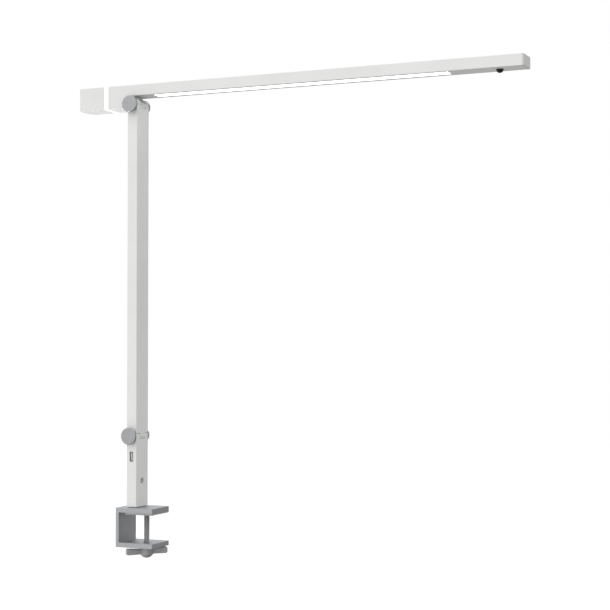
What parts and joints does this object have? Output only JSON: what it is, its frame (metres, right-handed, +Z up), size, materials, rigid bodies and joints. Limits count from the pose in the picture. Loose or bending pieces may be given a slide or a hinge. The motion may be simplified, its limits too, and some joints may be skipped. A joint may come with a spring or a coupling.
{
  "type": "swing arm desk lamp",
  "caption": "Desk lamp with a slim bar head and light strip on a jointed rectangular arm, a swivelling post and a C clamp with a wing screw.",
  "frame": {"origin": "on the swivel axis, in the plane of the desk top under the clamp's upper jaw", "axes": "+Z up along the post, +X along the head towards its tip, +Y across, away from the charging socket"},
  "size_m": [0.6027, 0.0467, 0.6137],
  "materials": {
    "white_paint": "smooth matt white powder coat on aluminium",
    "clamp_metal": "silver, satin",
    "grip_rubber": "grey, matt",
    "dark_polymer": "moulded, dark",
    "screw_steel": "zinc plated",
    "handle_metal": "die cast, painted grey",
    "socket_metal": "nickel plated",
    "socket_plastic": "moulded",
    "circuit_board": "solder mask",
    "knob_metal": "turned face, chamfered rim",
    "led_board_white": "white solder mask on aluminium",
    "led_phosphor": "phosphor resin",
    "opal_diffuser": "opal, lit",
    "opal_ring": "opal white",
    "sensor_black": "dark infra-red lens"
  },
  "bodies": {
    "clamp": {"clamp_bracket": "clamp_metal", "clamp_pad": "grip_rubber", "swivel_washer": "dark_polymer"},
    "screw": {"clamp_screw": "screw_steel"},
    "handle": {"wing_handle": "handle_metal"},
    "base": {"swivel_spindle": "screw_steel", "swivel_retainer": "screw_steel", "retainer_screw": "screw_steel", "base_tube": "white_paint", "base_fork": "white_paint", "usb_shell": "socket_metal", "usb_tongue": "socket_plastic", "inlet_body": "dark_polymer", "inlet_pin": "socket_metal", "driver_board": "circuit_board", "driver_parts": "dark_polymer", "lower_pin": "screw_steel", "lower_knob": "knob_metal", "lower_cap": "knob_metal", "lower_washers": "socket_plastic"},
    "arm": {"arm_tube": "white_paint", "arm_tongue": "white_paint", "arm_fork": "white_paint", "arm_wire": "dark_polymer", "upper_pin": "screw_steel", "upper_knob": "knob_metal", "upper_cap": "knob_metal", "upper_washers": "socket_plastic"},
    "head": {"head_channel": "white_paint", "head_housing": "white_paint", "led_board": "led_board_white", "leds": "led_phosphor", "diffuser": "opal_diffuser", "end_cap": "white_paint", "sensor_lens": "sensor_black", "sensor_board": "circuit_board", "head_wire": "dark_polymer", "white_ring": "opal_ring", "touch_block": "white_paint", "touch_board": "circuit_board"}
  },
  "joints": [
    {"name": "base_swivel", "type": "hinge", "parent": "clamp", "child": "base", "pos_m": [0, 0, 0.0086], "axis": [0, 0, 1], "range_deg": [-170, 170]},
    {"name": "lower_hinge", "type": "hinge", "parent": "base", "child": "arm", "pos_m": [0, 0, 0.1009], "axis": [0, 1, 0], "range_deg": [-45, 45]},
    {"name": "upper_hinge", "type": "hinge", "parent": "arm", "child": "head", "pos_m": [0, 0, 0.5309], "axis": [0, 1, 0], "range_deg": [-20, 70]},
    {"name": "screw_travel", "type": "slide", "parent": "clamp", "child": "screw", "axis": [0, 0, 1], "range_m": [-0.0297, 0]},
    {"name": "handle_turn", "type": "hinge", "parent": "screw", "child": "handle", "pos_m": [0.0145, 0, -0.0471], "axis": [0, 0, 1], "range_deg": [-8550, 0]}
  ],
  "couplings": [
    {"joint": "screw_travel", "follows": "handle_turn", "m_per_rad": 0.00019894}
  ]
}
